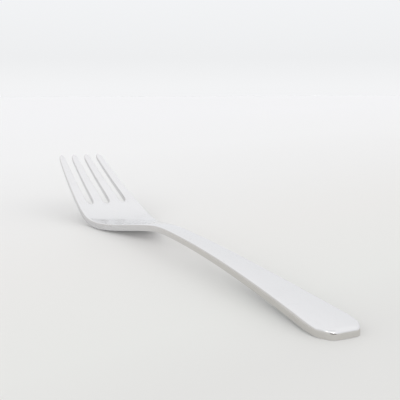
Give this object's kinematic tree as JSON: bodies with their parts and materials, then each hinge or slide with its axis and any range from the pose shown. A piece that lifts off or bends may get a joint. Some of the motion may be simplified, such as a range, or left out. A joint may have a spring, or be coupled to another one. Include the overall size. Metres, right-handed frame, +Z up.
{
  "type": "dinner fork",
  "caption": "Table fork of polished stainless steel, with a slim crowned handle, an arched neck and a dished head with long tines, for eating and serving.",
  "frame": {"origin": "on the table, under the middle of the fork's length and width", "axes": "+X along the fork from the end of the handle to the tips of the tines, +Y across it, +Z up, away from the table and out of the hollow side of the head"},
  "size_m": [0.2, 0.0264, 0.0232],
  "materials": {
    "steel": "mirror-polished stainless steel with faint polishing lines and table wear"
  },
  "bodies": {
    "root": {"handle": "steel", "neck": "steel", "palm": "steel", "tine_1": "steel", "tine_2": "steel", "tine_3": "steel", "tine_4": "steel"}
  },
  "joints": []
}
